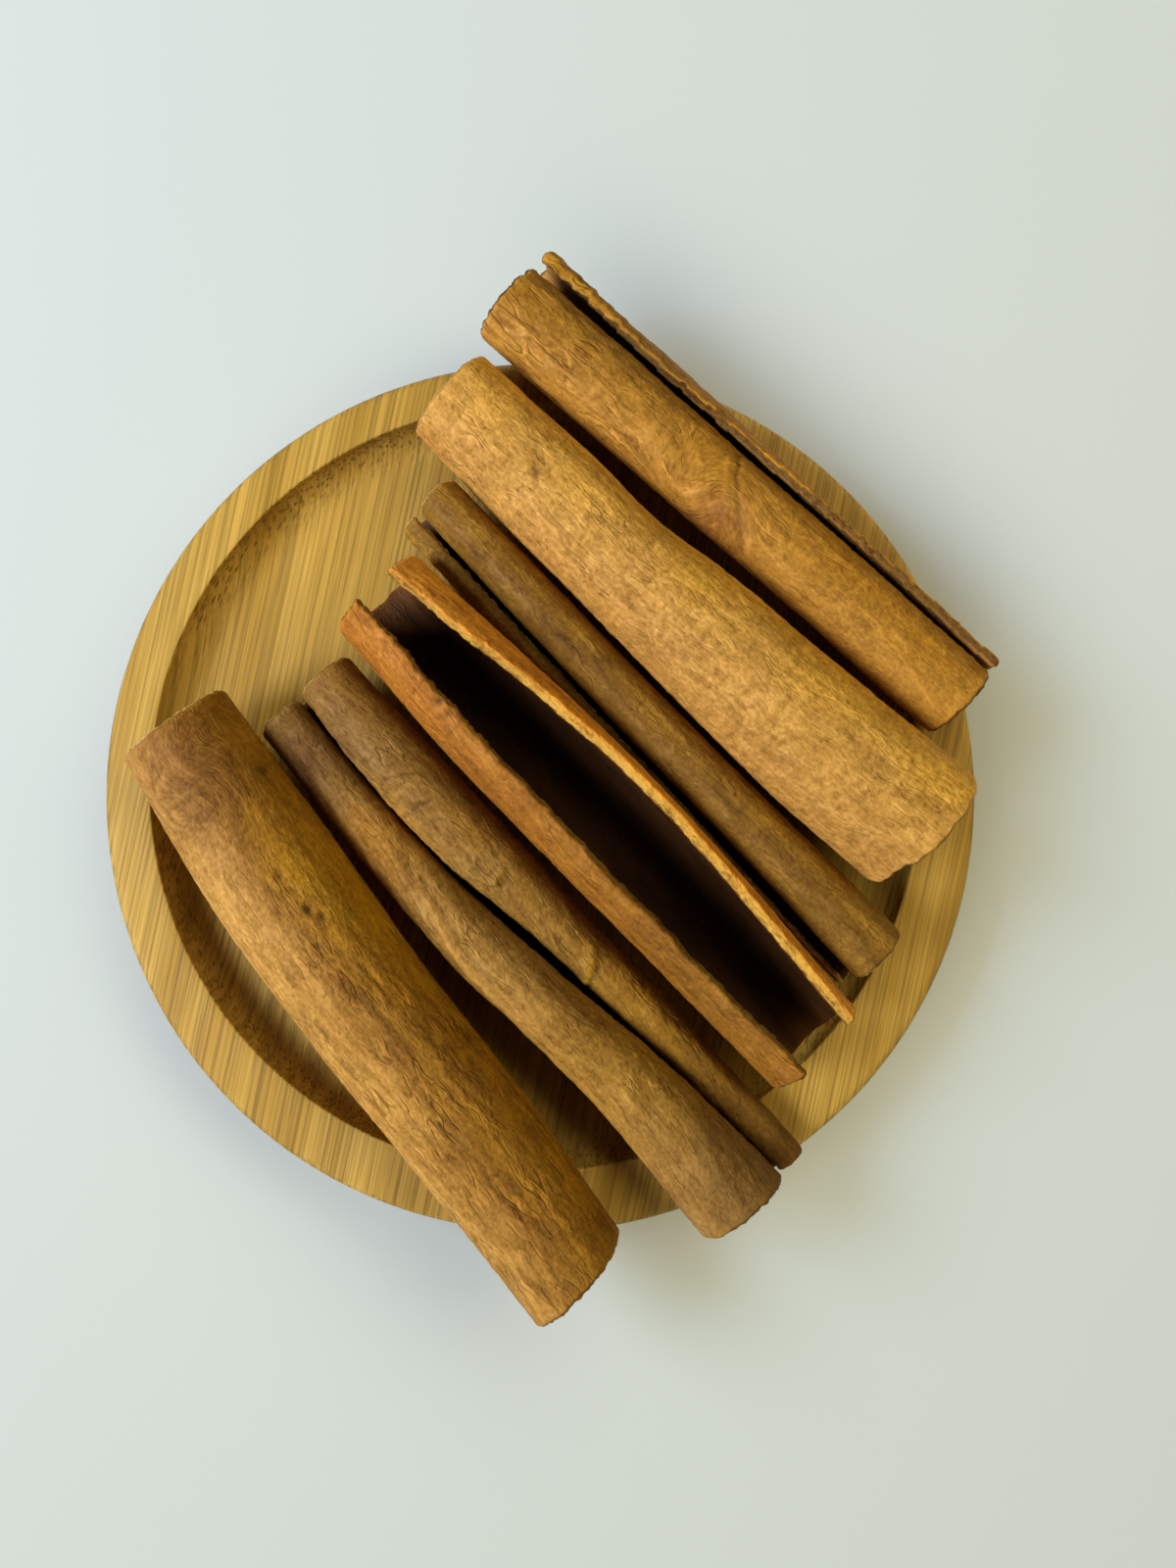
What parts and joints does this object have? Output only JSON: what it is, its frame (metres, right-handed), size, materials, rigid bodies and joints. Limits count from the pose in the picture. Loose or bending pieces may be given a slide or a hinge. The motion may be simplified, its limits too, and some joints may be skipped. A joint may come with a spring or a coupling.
{
  "type": "stack of cinnamon sticks",
  "caption": "Rolled cinnamon bark quills lying side by side across a round bamboo tray with a shallow recess.",
  "frame": {"origin": "centre of the tray's round underside", "axes": "+Z up; seen from straight above, +X points right and +Y points up, and the quills run from upper left to lower right"},
  "size_m": [0.1008, 0.1183, 0.0234],
  "materials": {
    "bamboo": "satin",
    "bark_brown": "matte",
    "bark_grey_brown": "matte",
    "bark_reddish": "matte",
    "bark_golden": "matte"
  },
  "bodies": {
    "root": {"tray": "bamboo", "quill_1_broad": "bark_brown", "quill_2_twin_roll": "bark_grey_brown", "quill_3_open_channel": "bark_reddish", "quill_4_slim": "bark_grey_brown", "quill_5_smooth": "bark_golden", "quill_6_lipped": "bark_golden"}
  },
  "joints": []
}
